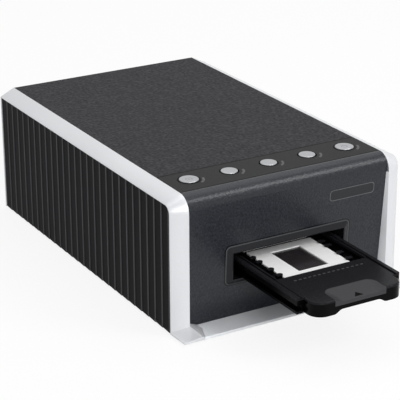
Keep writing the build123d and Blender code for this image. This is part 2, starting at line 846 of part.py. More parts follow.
# ---- Gears ----
def gear(teeth, x0, x1, y, z, bore, turned=0.0):
    """Spur gear on an axis along X. turned = 0 points a tooth at +Y."""
    pitch_r = module_size * teeth / 2
    base_r = pitch_r * math.cos(pressure_angle)
    tip_r = pitch_r + addendum
    root_r = pitch_r - dedendum
    half_at_pitch = (math.pi * module_size / 2 - backlash) / 2 / pitch_r
    pitch_roll = math.tan(pressure_angle) - pressure_angle
    start_r = max(base_r, root_r)

    def half_angle(radius):
        flank = math.acos(min(base_r / radius, 1.0))
        return half_at_pitch + pitch_roll - (math.tan(flank) - flank)

    radii = [start_r + (tip_r - start_r) * k / 3 for k in range(4)]
    flank = [(root_r, half_angle(start_r))] if root_r < start_r else []
    flank += [(r, half_angle(r)) for r in radii]
    points = []
    for i in range(teeth):
        middle = 2 * math.pi * i / teeth + math.radians(turned)
        points += [(r * math.cos(middle - a), r * math.sin(middle - a)) for r, a in flank]
        points += [(r * math.cos(middle + a), r * math.sin(middle + a)) for r, a in reversed(flank)]
    blank = prism_x([(y + py, z + pz) for py, pz in points], x0, x1)
    return blank - rod_x(bore, x0 - 1, x1 + 1, y, z)


def pinion(side):
    x = side * (rack_outer - rack_width / 2)
    return gear(pinion_teeth, x - pinion_width / 2, x + pinion_width / 2, shaft_y, shaft_z,
                shaft_radius + press_gap, 90.0)


def drive_shaft():
    return rod_x(shaft_radius, driven_gear_x - pin_end, guide_outer + pin_end, shaft_y, shaft_z)


def driven_gear():
    return gear(driven_teeth, driven_gear_x, driven_gear_end, shaft_y, shaft_z, shaft_radius + press_gap)


def idler_gear():
    return gear(idler_teeth, driven_gear_x, driven_gear_end, idler_y, shaft_z, pin_radius + running_gap,
                180 / idler_teeth)


def idler_pin():
    return rod_x(pin_radius, bracket_x + motor_bracket_thickness, driven_gear_end + pin_end, idler_y, shaft_z)


def motor_pinion():
    return gear(motor_teeth, driven_gear_x, driven_gear_end, motor_y, shaft_z, pin_radius + press_gap)


def motor_shaft():
    return rod_x(pin_radius, motor_left + motor_band_inset, driven_gear_end + pin_end / 2, motor_y, shaft_z)


def motor():
    half = motor_side / 2
    body = box(motor_left, bracket_x, motor_y - half, motor_y + half, shaft_z - half, shaft_z + half)
    body = chamfer(body.edges().filter_by(Axis.X), motor_corner)
    for x in (bracket_x - motor_band_inset, motor_left + motor_band_inset):
        size = 2 * half + 2 * over
        band = Pos(x, motor_y, shaft_z) * Box(motor_band, size, size)
        core = Pos(x, motor_y, shaft_z) * Box(2 * motor_band, 2 * half - motor_band, 2 * half - motor_band)
        body -= band - core
    return body - rod_x(pin_radius + running_gap, motor_left + motor_band_inset - fit_gap, bracket_x + over, motor_y,
                        shaft_z)


def motor_bracket():
    """Upright plate for the motor and the idler's pin, with a foot on the pan."""
    x0 = bracket_x
    x1 = bracket_x + motor_bracket_thickness
    y0 = idler_y - bracket_edge
    y1 = motor_y + motor_side / 2 + motor_margin
    plate = box(x0, x1, y0, y1, pan_top, motor_flange_height)
    plate += box(x0 - bracket_foot, x1, motor_y + motor_margin, y1, pan_top, pan_top + bracket_foot_height)
    return plate - rod_x(pin_radius + motor_margin / 3, x0 - over, x1 + over, motor_y, shaft_z)


def guide_rail():
    """Left guide: a wall on the pan whose tongue runs in the holder's side groove."""
    wall = box(-guide_outer, -guide_inner, guide_front, guide_back, pan_top, guide_top)
    wall += box(-guide_outer, -guide_inner + guide_foot_width, guide_back - guide_foot_length, guide_back, pan_top,
                pan_top + guide_foot_height)
    tongue = box(-guide_inner - 1, -holder_half - tongue_clearance, guide_front, guide_back,
                 lower_lip_top + tongue_clearance, lip_bottom - tongue_clearance)
    tongue = chamfer(tongue.edges().filter_by(Axis.Z).sort_by(Axis.X)[-2:], tongue_chamfer)
    return wall + tongue - rod_x(bush_radius + press_gap, -guide_outer - 1, -guide_inner + 1, shaft_y, shaft_z)


def shaft_bushes():
    bush = rod_x(bush_radius, -guide_outer, -guide_inner, shaft_y, shaft_z)
    bush -= rod_x(shaft_radius + running_gap, -guide_outer - 1, -guide_inner + 1, shaft_y, shaft_z)
    return group([bush, mirrored(bush)])


# ---- Dust flap ----
def dust_flap():
    """Propped open by the holder; it swings about the pin in the bezel's ears."""
    blade = box(-flap_half_width, flap_half_width, -flap_thickness / 2, flap_thickness / 2, -flap_length, 0)
    blade = fillet(blade.edges().filter_by(Axis.X).sort_by(Axis.Z)[:2], flap_thickness / 2 - 0.05)
    flap = Pos(0, flap_y, flap_z) * Rot(flap_lift, 0, 0) * blade
    flap += rod_x(flap_barrel, -slot_half_width - 0.2, slot_half_width + 0.2, flap_y, flap_z)
    return flap - rod_x(flap_pin_radius + flap_pin_gap, -half_width, half_width, flap_y, flap_z)


def flap_pin():
    end = slot_half_width + 0.5 + ear_width
    return rod_x(flap_pin_radius, -end, end, flap_y, flap_z)


# ---- Boards and sockets ----
def rear_board_posts(length):
    """Places of the posts under a board of this length on the right."""
    inset = board_post_radius + socket_margin
    return [(x, y) for x in (board_left + inset, board_right - inset)
            for y in (board_back - length + inset, board_back - usb_depth - inset)]


def rear_board(length):
    """Board along the right guide, up to the rear panel."""
    return box(board_left, board_right, board_back - length, board_back, board_top - board_thickness, board_top)


def board_chips():
    """Packages and three tall capacitors soldered to the main board."""
    middle = (board_left + board_right) / 2
    parts = []
    for width, depth, height, back in chip_sizes:
        y = board_back - back
        parts.append(box(middle - width / 2, middle + width / 2, y - depth / 2, y + depth / 2, board_top,
                         board_top + height))
    for k in (-1, 0, 1):
        parts.append(rod_z(can_radius, middle + k * can_pitch, board_back - can_back, board_top,
                           board_top + can_height))
    return group(parts)


def usb_port():
    """Square socket with its contact block, flush with the rear panel."""
    top = board_top
    x0 = usb_x - usb_width / 2
    x1 = usb_x + usb_width / 2
    shell = box(x0, x1, rear_face - usb_depth, rear_face, top, top + usb_height)
    shell -= box(x0 + usb_wall, x1 - usb_wall, rear_face - usb_depth + 2, rear_face + 1, top + usb_wall,
                 top + usb_height - usb_wall)
    mid = top + usb_height / 2
    return shell + box(usb_x - 2.8, usb_x + 2.8, rear_face - usb_depth + 1, rear_face - 2, mid - 1.5, mid + 1.5)


def power_jack():
    top = board_top
    block = box(jack_x - jack_width / 2, jack_x + jack_width / 2, rear_face - jack_depth, rear_face, top,
                top + jack_height)
    mid = top + jack_height / 2
    block -= rod_y(jack_bore, jack_x, rear_face - jack_depth + 3, rear_face + 1, mid)
    return block + rod_y(jack_pin, jack_x, rear_face - jack_depth + 2, rear_face - 1.5, mid)


# ---- Lamp and optics ----
def lamp_housing():
    y1 = lamp_front + lamp_length
    shell = box(-guide_outer, guide_outer, lamp_front, y1, guide_top, guide_top + lamp_height)
    shell = fillet(shell.edges().filter_by(Axis.Y).sort_by(Axis.Z)[-2:], 3)
    return shell - box(-lamp_window_half, lamp_window_half, lamp_front + lamp_wall, y1 - lamp_wall,
                       guide_top - 1, guide_top + lamp_height - lamp_wall)


def lamp_diffuser():
    y1 = lamp_front + lamp_length - lamp_wall
    gap = 0.1
    return box(-lamp_window_half + gap, lamp_window_half - gap, lamp_front + lamp_wall + gap, y1 - gap,
               guide_top + 0.5, guide_top + 0.5 + diffuser_thickness)


def lamp_board():
    """Light-source board under the lamp housing's roof, with a row of lamps."""
    y1 = lamp_front + lamp_length - lamp_wall
    roof = guide_top + lamp_height - lamp_wall
    board = box(-lamp_window_half + 0.5, lamp_window_half - 0.5, lamp_front + lamp_wall + 0.5, y1 - 0.5,
                roof - board_thickness, roof)
    lamps = 7
    for i in range(lamps):
        x = (i - (lamps - 1) / 2) * 7.5
        y = lamp_front + lamp_length / 2
        board += box(x - 1.8, x + 1.8, y - 1.5, y + 1.5, roof - board_thickness - 1.2, roof - board_thickness + 0.2)
    return board


def optical_bench():
    """Plate on the pan with the mirror's wedge, the lens cradle and the sensor's post."""
    top = pan_top + bench_thickness
    bench = box(-bench_half, bench_half, bench_front, bench_back, pan_top, top)
    rise = mirror_size / math.sqrt(2)
    y0 = scan_y - rise / 2
    bench += prism_x([(y0 + rise, top - 0.5), (y0 + rise + 1, top - 0.5), (y0 + rise + 1, top + 1),
                      (y0 + 1, top + rise + 1), (y0 - 3, top + rise + 1), (y0 - 3, top - 0.5)],
                     -mirror_width / 2, mirror_width / 2)
    middle = lens_front + lens_length / 2
    cradle = box(-cradle_width / 2, cradle_width / 2, middle - cradle_length / 2, middle + cradle_length / 2,
                 top - 0.5, lens_z)
    bench += cradle - rod_y(lens_radius + press_gap, 0, middle - cradle_length, middle + cradle_length, lens_z)
    return bench + box(-sensor_width / 2 + 4, sensor_width / 2 - 4, sensor_y + board_thickness,
                       sensor_y + board_thickness + sensor_post, top - 0.5, top + sensor_height)


def fold_mirror():
    """Glass on the wedge's 45 degree face, turned to the lens."""
    top = pan_top + bench_thickness
    rise = mirror_size / math.sqrt(2)
    y0 = scan_y - rise / 2
    step = mirror_thickness * math.sqrt(2)
    z0 = top + 1
    return prism_x([(y0 + rise + 1, z0), (y0 + rise + 1 + step, z0), (y0 + 1 + step / 2, z0 + rise + step / 2),
                    (y0 + 1, z0 + rise)], -mirror_width / 2 + 1, mirror_width / 2 - 1)


def lens_barrel():
    y1 = lens_front + lens_length
    barrel = rod_y(lens_radius, 0, lens_front, y1, lens_z)
    barrel -= rod_y(lens_radius - lens_wall, 0, lens_front - 1, y1 + 1, lens_z)
    for i in range(3):
        y = y1 - 3 - 1.6 * i
        barrel -= rod_y(lens_radius + 1, 0, y - 0.4, y + 0.4, lens_z) - rod_y(
            lens_radius - 0.5, 0, y - 1, y + 1, lens_z)
    return barrel


def lens_glasses():
    """Front and back elements, seated in the barrel."""
    parts = []
    for y in (lens_front + 2, lens_front + lens_length - 6):
        disc = rod_y(lens_radius - lens_wall - press_gap, 0, y, y + 3.5, lens_z)
        parts.append(fillet(disc.edges().filter_by(GeomType.CIRCLE), 1.2))
    return group(parts)


def sensor_board():
    top = pan_top + bench_thickness
    return box(-sensor_width / 2, sensor_width / 2, sensor_y, sensor_y + board_thickness, top, top + sensor_height)


def image_sensor():
    return box(-21, 21, sensor_y - 3, sensor_y, lens_z - 4.5, lens_z + 4.5)


def build():
    """Every node, by name, in the drawing's own place."""
    frame = left_frame()
    side = left_side_panel()
    rail = guide_rail()
    names = ("scan_button", "button_2", "button_3", "button_4", "power_button")
    xs = button_places()
    nodes = {
        "left_frame": frame,
        "right_frame": mirrored(frame),
        "front_sill": sill(),
        "left_side_panel": side,
        "right_side_panel": mirrored(side),
        "top_cover": top_cover(),
        "front_panel": front_panel(),
        "slot_bezel": slot_bezel(),
        "badge_plate": badge_plate(),
        "rear_panel": rear_panel(),
        "base_pan": base_pan(),
        "rubber_feet": rubber_feet(),
        "frame_screws": frame_screws(),
        "rear_screws": rear_screws(),
        "button_strip": button_strip(),
        "ring_light_left": ring_light(xs[0]),
        "ring_light_right": ring_light(xs[-1]),
        "button_board": button_board(),
        "button_switches": button_switches(),
        "film_holder": film_holder(),
        "slide_catches": slide_catches(),
        "slide_mounts": slide_mounts(),
        "slide_films": slide_films(),
        "drive_shaft": drive_shaft(),
        "drive_pinion_left": pinion(-1),
        "drive_pinion_right": pinion(1),
        "driven_gear": driven_gear(),
        "idler_gear": idler_gear(),
        "idler_pin": idler_pin(),
        "motor_pinion": motor_pinion(),
        "motor_shaft": motor_shaft(),
        "feed_motor": motor(),
        "motor_bracket": motor_bracket(),
        "guide_rail_left": rail,
        "guide_rail_right": mirrored(rail),
        "shaft_bushes": shaft_bushes(),
        "dust_flap": dust_flap(),
        "flap_pin": flap_pin(),
        "main_board": rear_board(main_board_length),
        "power_board": mirrored(rear_board(power_board_length)),
        "board_chips": board_chips(),
        "usb_port": usb_port(),
        "power_jack": power_jack(),
        "lamp_housing": lamp_housing(),
        "lamp_diffuser": lamp_diffuser(),
        "lamp_board": lamp_board(),
        "optical_bench": optical_bench(),
        "fold_mirror": fold_mirror(),
        "lens_barrel": lens_barrel(),
        "lens_glasses": lens_glasses(),
        "sensor_board": sensor_board(),
        "image_sensor": image_sensor(),
    }
    for name, x in zip(names, xs):
        nodes[name] = button(x)
    return nodes


os.makedirs("parts", exist_ok=True)
for node, part in build().items():
    export_step(Pos(0, front_y, 0) * part, f"parts/{node}.step")
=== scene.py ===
"""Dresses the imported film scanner: its finishes, fine edges and printed marks, in a pale studio."""

import math

import bpy
from mathutils import Matrix, Vector


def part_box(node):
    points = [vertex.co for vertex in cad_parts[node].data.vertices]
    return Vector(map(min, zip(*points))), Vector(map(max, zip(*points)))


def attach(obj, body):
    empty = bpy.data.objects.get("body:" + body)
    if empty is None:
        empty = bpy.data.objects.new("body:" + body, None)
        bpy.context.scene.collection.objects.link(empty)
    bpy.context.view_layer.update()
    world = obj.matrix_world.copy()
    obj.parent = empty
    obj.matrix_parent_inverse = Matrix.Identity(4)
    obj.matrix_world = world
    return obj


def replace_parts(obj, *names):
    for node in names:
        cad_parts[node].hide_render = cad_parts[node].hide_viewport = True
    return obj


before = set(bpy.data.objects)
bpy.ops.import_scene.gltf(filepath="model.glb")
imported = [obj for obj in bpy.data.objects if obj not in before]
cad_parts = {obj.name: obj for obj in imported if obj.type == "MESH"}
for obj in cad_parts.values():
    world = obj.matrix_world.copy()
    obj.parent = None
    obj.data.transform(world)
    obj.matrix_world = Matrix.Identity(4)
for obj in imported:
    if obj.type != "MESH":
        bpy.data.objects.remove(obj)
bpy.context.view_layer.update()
bpy.ops.object.select_all(action="DESELECT")

# ---- Camera ----
# Stands at the photograph's place: to the left of the machine's front and looking down on it. The
# lens is long, and the picture is 400 by 400.
picture_width = 400
focal_pixels = 1636.4
sensor_width = 36.0
azimuth = math.radians(-30.14)
elevation = math.radians(21.61)
roll = math.radians(-0.24)
camera_place = Vector((-0.542, -0.9084, 0.4653))

camera_data = bpy.data.cameras.new("studio_camera")
camera_data.sensor_width = sensor_width
camera_data.lens = focal_pixels / picture_width * sensor_width
camera_data.clip_start = 0.05
camera = bpy.data.objects.new("studio_camera", camera_data)
bpy.context.scene.collection.objects.link(camera)
back = Vector((
    math.sin(azimuth) * math.cos(elevation),
    -math.cos(azimuth) * math.cos(elevation),
    math.sin(elevation),
))
level = Vector((math.cos(azimuth), math.sin(azimuth), 0.0))
right = math.cos(roll) * level + math.sin(roll) * back.cross(level)
upward = back.cross(right)
turned = Matrix((right, upward, back)).transposed().to_4x4()
camera.matrix_world = Matrix.Translation(camera_place) @ turned
bpy.context.scene.camera = camera

# ---- Studio ----
# A white paper floor, three soft lamps and a white room. The camera, gloss and glass see the room
# at full white, while the light that it gives to the object is weaker.
room_light = 0.5
floor_size = 8.0
floor_glow = 0.86
lamp_target = Vector((0.0, 0.0, 0.04))
lamps = (
    ("key_lamp", (-0.35, -1.7, 0.85), 0.8, 13.0),
    ("edge_lamp", (0.75, -0.9, 1.1), 0.5, 7.0),
    ("top_lamp", (0.25, 0.35, 1.6), 1.6, 8.0),
)
for name, place, size, watts in lamps:
    lamp_data = bpy.data.lights.new(name, "AREA")
    lamp_data.size = size
    lamp_data.energy = watts
    lamp = bpy.data.objects.new(name, lamp_data)
    lamp.location = place
    lamp.rotation_euler = (lamp_target - Vector(place)).to_track_quat("-Z", "Y").to_euler()
    bpy.context.scene.collection.objects.link(lamp)
bpy.context.scene.view_settings.view_transform = "Standard"


class Wire:
    """A value that runs between shader nodes. Sums on it in Python add Math nodes."""

    def __init__(self, nodes, socket):
        self.nodes = nodes
        self.socket = socket

    def maths(self, operation, *values, clamp=False):
        settings = {"operation": operation, "use_clamp": clamp}
        return self.nodes.node("ShaderNodeMath", settings, dict(enumerate((self, *values))))

    def __add__(self, other):
        return self.maths("ADD", other)

    def __sub__(self, other):
        return self.maths("SUBTRACT", other)

    def __mul__(self, other):
        return self.maths("MULTIPLY", other)

    def __truediv__(self, other):
        return self.maths("DIVIDE", other)

    def __rsub__(self, other):
        return self.maths("MULTIPLY", -1.0) + other

    __radd__ = __add__
    __rmul__ = __mul__

    def larger(self, other):
        return self.maths("MAXIMUM", other)

    def root(self):
        return self.maths("SQRT")

    def size(self):
        """The value without its sign."""
        return self.maths("ABSOLUTE")

    def below(self, edge, soft):
        """1 where the value is under edge and 0 where it is over it, with a step that is soft wide."""
        return ((edge - self) / soft).maths("ADD", 0.5, clamp=True)

    def above(self, edge, soft):
        return ((self - edge) / soft).maths("ADD", 0.5, clamp=True)


class Nodes:
    """The shader nodes of a material or of the world."""

    def __init__(self, tree):
        self.tree = tree

    def plug(self, socket, value):
        if isinstance(value, Wire):
            self.tree.links.new(value.socket, socket)
        elif socket.type == "RGBA":
            socket.default_value = (*value, 1.0)
        else:
            socket.default_value = value

    def node(self, kind, settings=None, sockets=None, output=0):
        node = self.tree.nodes.new(kind)
        for name, value in (settings or {}).items():
            setattr(node, name, value)
        for name, value in (sockets or {}).items():
            self.plug(node.inputs[name], value)
        return Wire(self, node.outputs[output])

    def seen(self):
        """1 for the rays that show a thing itself: straight, off gloss and through glass."""
        camera_ray, gloss_ray, glass_ray = (
            self.node("ShaderNodeLightPath", output=f"Is {kind} Ray")
            for kind in ("Camera", "Glossy", "Transmission")
        )
        return camera_ray.larger(gloss_ray).larger(glass_ray)


class Finish(Nodes):
    """A material on one Principled shader."""

    def __init__(self, name, sockets):
        self.material = bpy.data.materials.new(name)
        self.material.use_nodes = True
        super().__init__(self.material.node_tree)
        self.shader = self.tree.nodes["Principled BSDF"]
        self.place = self.node("ShaderNodeTexCoord", output="Object")
        self.set(sockets)

    def set(self, sockets):
        for name, value in sockets.items():
            self.plug(self.shader.inputs[name], value)

    def axis(self, letter):
        """The X, Y or Z of the point on the object, in metres."""
        return self.node("ShaderNodeSeparateXYZ", None, {0: self.place}, letter)

    def noise(self, scale, detail=2.0, stretch=(1.0, 1.0, 1.0)):
        spot = self.node("ShaderNodeMapping", None, {"Vector": self.place, "Scale": stretch})
        sockets = {"Vector": spot, "Scale": scale, "Detail": detail}
        return self.node("ShaderNodeTexNoise", None, sockets)

    def mix(self, share, first, second):
        return self.node("ShaderNodeMix", {"data_type": "RGBA"}, {0: share, 6: first, 7: second}, 2)

    def mottle(self, pattern, dark, light):
        """The colour runs from dark to light with the pattern."""
        self.set({"Base Color": self.mix(pattern, dark, light)})

    def bump(self, height, depth):
        self.set({"Normal": self.node("ShaderNodeBump", None, {"Height": height, "Distance": depth})})

    def glow(self, share):
        """This share of the surface shows as plain white light."""
        own = Wire(self, self.shader.outputs[0])
        white = self.node("ShaderNodeEmission", None, {"Color": (1.0, 1.0, 1.0), "Strength": 1.0})
        last = self.node("ShaderNodeMixShader", None, {0: share, 1: own, 2: white})
        self.plug(self.tree.nodes["Material Output"].inputs["Surface"], last)

    def on(self, *pieces):
        """Puts the finish on CAD nodes, by name, and on other objects."""
        for piece in pieces:
            mesh = (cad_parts[piece] if isinstance(piece, str) else piece).data
            mesh.materials.clear()
            mesh.materials.append(self.material)


room = bpy.data.worlds.new("white_room")
room.use_nodes = True
bpy.context.scene.world = room
room_nodes = Nodes(room.node_tree)
background = room.node_tree.nodes["Background"]
room_nodes.plug(background.inputs["Color"], (1.0, 1.0, 1.0))
room_nodes.plug(background.inputs["Strength"], room_nodes.seen() * (1.0 - room_light) + room_light)

bpy.ops.mesh.primitive_plane_add(size=floor_size, location=(0.0, 0.0, 0.0))
floor = bpy.context.object
floor.name = "floor"
paper = Finish("floor_paper", {"Base Color": (0.9, 0.9, 0.9), "Roughness": 0.9})
paper.glow(paper.seen() * floor_glow)
paper.on(floor)

# ---- Base pan, feet and screws ----
# The pan is moulded in plain black plastic. Four rubber feet are stuck under it, and zinc-plated
# pan-head screws hold the side frames and the rear panel to its walls.
pan_plastic = Finish("pan_plastic", {"Base Color": (0.018, 0.018, 0.019), "Roughness": 0.55})
pan_plastic.bump(pan_plastic.noise(1500.0), 0.00005)
pan_plastic.on("base_pan", "rear_panel", "dust_flap")
rubber = Finish("foot_rubber", {"Base Color": (0.015, 0.015, 0.015), "Roughness": 0.85})
rubber.bump(rubber.noise(900.0), 0.0001)
rubber.on("rubber_feet")
zinc = Finish("zinc_plate", {"Metallic": 1.0, "Roughness": 0.35})
zinc.mottle(zinc.noise(300.0), (0.5, 0.5, 0.48), (0.68, 0.68, 0.66))
zinc.on("frame_screws", "rear_screws", "motor_bracket")

# ---- Side frames and sill ----
# Moulded plastic in satin silver paint. The frames wrap the case on each side with a broad bevel
# and run forward into the toes; the thin sill between the toes has the same paint, its colour made
# paler as painted light against the shadow that the holder casts on it.
frame_ease = 0.0004
doubles_reach = 0.000004
flat_angle = math.radians(0.5)
sharp_angle = math.radians(14.0)
smooth_angle = math.radians(30.0)


def eased(node, body, width):
    """A merged copy of a CAD node with its sharp edges eased, which takes the node's place."""
    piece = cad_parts[node].copy()
    piece.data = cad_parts[node].data.copy()
    piece.name = node + "_eased"
    for key in list(piece.keys()):
        del piece[key]
    piece.parent = None
    bpy.context.scene.collection.objects.link(piece)
    bpy.ops.object.select_all(action="DESELECT")
    piece.select_set(True)
    bpy.context.view_layer.objects.active = piece
    bpy.ops.object.mode_set(mode="EDIT")
    bpy.ops.mesh.select_all(action="SELECT")
    bpy.ops.mesh.remove_doubles(threshold=doubles_reach)
    bpy.ops.mesh.dissolve_limited(angle_limit=flat_angle)
    bpy.ops.object.mode_set(mode="OBJECT")
    soften = piece.modifiers.new("soften", "BEVEL")
    soften.width = width
    soften.segments = 2
    soften.limit_method = "ANGLE"
    soften.angle_limit = sharp_angle
    soften.use_clamp_overlap = True
    bpy.ops.object.modifier_apply(modifier="soften")
    bpy.ops.object.shade_smooth_by_angle(angle=smooth_angle)
    piece.select_set(False)
    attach(piece, body)
    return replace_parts(piece, node)


silver = Finish("silver_paint", {"Metallic": 0.35, "Roughness": 0.38})
flake = silver.noise(2600.0, 1.0)
cloud = silver.noise(14.0)
silver.mottle(flake * 0.5 + cloud * 0.5, (0.58, 0.59, 0.61), (0.76, 0.77, 0.79))
silver.bump(flake, 0.00001)
silver.on(eased("left_frame", "case", frame_ease), eased("right_frame", "case", frame_ease))
# Painted light: the sill's silver is given a paler colour to lift it out of the holder's shadow.
sill_silver_lightened = Finish("sill_silver_lightened", {"Roughness": 0.34})
sill_silver_lightened.mottle(sill_silver_lightened.noise(2600.0, 1.0), (0.76, 0.78, 0.81), (0.9, 0.92, 0.95))
sill_silver_lightened.on("front_sill")

# ---- Film guides and feed drive ----
# Filled acetal guides stand on the pan. A small stepper motor turns white acetal gears, and two
# pinions on a ground steel shaft push the racks under the holder.
acetal = Finish("white_acetal", {"Base Color": (0.72, 0.7, 0.65), "Roughness": 0.4})
acetal.bump(acetal.noise(700.0), 0.00003)
acetal.on("drive_pinion_left", "drive_pinion_right", "driven_gear", "idler_gear")
guide_acetal = Finish("guide_acetal", {"Base Color": (0.03, 0.03, 0.032), "Roughness": 0.45})
guide_acetal.bump(guide_acetal.noise(900.0), 0.00004)
guide_acetal.on("guide_rail_left", "guide_rail_right")
ground_steel = Finish("ground_steel", {"Base Color": (0.6, 0.6, 0.6), "Metallic": 1.0})
grinding = ground_steel.noise(400.0, stretch=(40.0, 1.0, 1.0))
ground_steel.set({"Roughness": grinding * 0.2 + 0.15})
ground_steel.on("drive_shaft", "idler_pin", "motor_shaft", "flap_pin")
bronze = Finish("sintered_bronze", {"Metallic": 1.0, "Roughness": 0.5})
bronze.mottle(bronze.noise(1800.0), (0.42, 0.26, 0.12), (0.6, 0.4, 0.2))
bronze.on("shaft_bushes", "motor_pinion")
motor_steel = Finish("motor_steel", {"Metallic": 0.8, "Roughness": 0.45})
motor_steel.mottle(motor_steel.noise(200.0), (0.05, 0.05, 0.052), (0.1, 0.1, 0.1))
motor_steel.on("feed_motor")

# ---- Lamp and optics ----
# The lamp shines down through the film onto a front-silvered mirror, and a lens throws the picture
# onto the sensor at the back of a black-anodised bench.
lamp_plastic = Finish("lamp_plastic", {"Base Color": (0.04, 0.04, 0.042), "Roughness": 0.5})
lamp_plastic.bump(lamp_plastic.noise(1200.0), 0.00004)
lamp_plastic.on("lamp_housing")
opal = Finish("opal_diffuser", {"Base Color": (0.85, 0.85, 0.84), "Roughness": 0.35})
opal.bump(opal.noise(600.0), 0.00002)
opal.on("lamp_diffuser")
anodised = Finish("black_anodising", {"Metallic": 0.6, "Roughness": 0.5})
anodised.mottle(anodised.noise(900.0), (0.02, 0.02, 0.022), (0.04, 0.04, 0.044))
anodised.on("optical_bench", "lens_barrel")
silvering = Finish("front_silvering", {"Base Color": (0.85, 0.86, 0.87), "Metallic": 1.0})
silvering.set({"Roughness": 0.03})
silvering.on("fold_mirror")
lens_glass = Finish("lens_glass", {"Base Color": (0.9, 0.95, 0.95), "Roughness": 0.02})
lens_glass.set({"Transmission Weight": 1.0})
lens_glass.on("lens_glasses")

# ---- Boards and sockets ----
# Green fibreglass boards with black packages, a plated square socket and a moulded power socket.
# The two sockets show through the rear panel.
solder_mask = Finish("green_solder_mask", {"Roughness": 0.35})
tracks = solder_mask.noise(350.0, 1.0, (1.0, 0.25, 1.0)).above(0.55, 0.05)
solder_mask.mottle(tracks, (0.01, 0.09, 0.03), (0.02, 0.15, 0.05))
solder_mask.on("main_board", "power_board", "button_board", "lamp_board", "sensor_board")
package = Finish("black_packages", {"Base Color": (0.012, 0.012, 0.012), "Roughness": 0.5})
package.bump(package.noise(2000.0), 0.00002)
package.on("board_chips", "image_sensor", "button_switches", "power_jack")
plating = Finish("socket_plating", {"Base Color": (0.7, 0.7, 0.72), "Metallic": 1.0})
plating.set({"Roughness": plating.noise(250.0) * 0.2 + 0.15})
plating.on("usb_port")

# ---- Front panel and slot bezel ----
# Fine-textured black plastic that leans back a little and rounds over at the top. The smoother
# bezel stands proud round the slot; a painted shadow darkens the panel in the gap round it, and a
# painted highlight runs as a paler line along the bezel's edge.
bezel_low, bezel_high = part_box("slot_bezel")
bezel_half = (bezel_high.x, 0.0138)
bezel_middle = bezel_low.z + bezel_half[1]
bezel_corner = 0.0035
gap_shadow_width = 0.0008
rim_highlight_width = 0.0008
edge_soft = 0.0003


def outside(x, y, half_x, half_y, corner):
    """Distance of a point outside a rounded oblong, and below zero inside it."""
    past_x = (x.size() - (half_x - corner)).larger(0.0)
    past_y = (y.size() - (half_y - corner)).larger(0.0)
    return (past_x * past_x + past_y * past_y).root() - corner


def outside_bezel(finish):
    height = finish.axis("Z") - bezel_middle
    return outside(finish.axis("X"), height, *bezel_half, bezel_corner)


front_plastic = Finish("front_plastic", {"Roughness": 0.3, "Specular IOR Level": 0.3})
speckle = front_plastic.noise(800.0)
front_plastic.bump(speckle, 0.00016)
specks = front_plastic.mix(speckle, (0.0, 0.0, 0.001), (0.034, 0.038, 0.048))
# Painted shadow: the panel is near black in a thin band round the bezel, where the gap lies in shade.
painted_gap_shadow = outside_bezel(front_plastic).below(gap_shadow_width, edge_soft)
front_plastic.mottle(painted_gap_shadow, specks, (0.0005, 0.0005, 0.0005))
front_plastic.on("front_panel")
bezel_plastic = Finish("bezel_plastic", {"Roughness": 0.25, "Specular IOR Level": 0.2})
bezel_plastic.bump(bezel_plastic.noise(700.0), 0.00001)
# Painted highlight: a paler band along the bezel's outer edge, where that edge catches the light.
painted_rim_highlight = outside_bezel(bezel_plastic).above(-rim_highlight_width, edge_soft)
bezel_plastic.mottle(painted_rim_highlight, (0.01, 0.0105, 0.013), (0.05, 0.052, 0.057))
bezel_plastic.on("slot_bezel")

# ---- Badge plate ----
# A small moulded plate that is let into the front at the upper right. It is bare but for a thin
# pale outline, printed just inside its edge.
badge_low, badge_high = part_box("badge_plate")
badge_middle = (badge_low + badge_high) / 2
badge_half = (badge_high - badge_low) / 2
badge_corner = 0.0024
outline_inset = 0.0002
outline_width = 0.0005
outline_soft = 0.0001
badge = Finish("badge_print", {"Roughness": 0.3, "Specular IOR Level": 0.3})
badge_x = badge.axis("X") - badge_middle.x
badge_z = badge.axis("Z") - badge_middle.z
badge_edge = outside(badge_x, badge_z, badge_half.x, badge_half.z, badge_corner) + outline_inset
outline = badge_edge.size().below(outline_width / 2, outline_soft)
badge.mottle(outline, (0.014, 0.015, 0.018), (0.11, 0.115, 0.12))
badge.on("badge_plate")

# ---- Top cover ----
# Moulded in one piece with a fine leather grain. It closes the case from the button strip to the
# back, where it turns down.
grained = Finish("grained_cover", {"Roughness": 0.6, "Specular IOR Level": 0.03})
cells = grained.node(
    "ShaderNodeTexVoronoi", None, {"Vector": grained.place, "Scale": 520.0}, "Distance"
)
pebbles = cells * 0.6 + grained.noise(480.0) * 0.8
grained.mottle(pebbles, (0.0, 0.0, 0.001), (0.057, 0.0565, 0.061))
grained.bump(pebbles, 0.00025)
grained.on("top_cover")

# ---- Button strip ----
# Smooth black plastic between the cover and the front, with painted shade in the gaps along both
# its edges. Beside each of its five buttons it carries a short arc of small printed strokes.
strip_low, strip_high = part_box("button_strip")
button_low, button_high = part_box("button_4")
button_row = (button_low.y + button_high.y) / 2
button_pitch = (button_low.x + button_high.x) / 2
seam_shade_half = 0.0009
arc_radius = 0.0094
arc_width = 0.0016
arc_from = 0.0018
arc_depth = 0.0022
arc_lean = 0.35
arc_skew = 0.1
arc_soft = 0.0003
stroke_pitch = 0.0013
stroke_gap = 0.0003
print_soft = 0.0002
print_share = 0.8

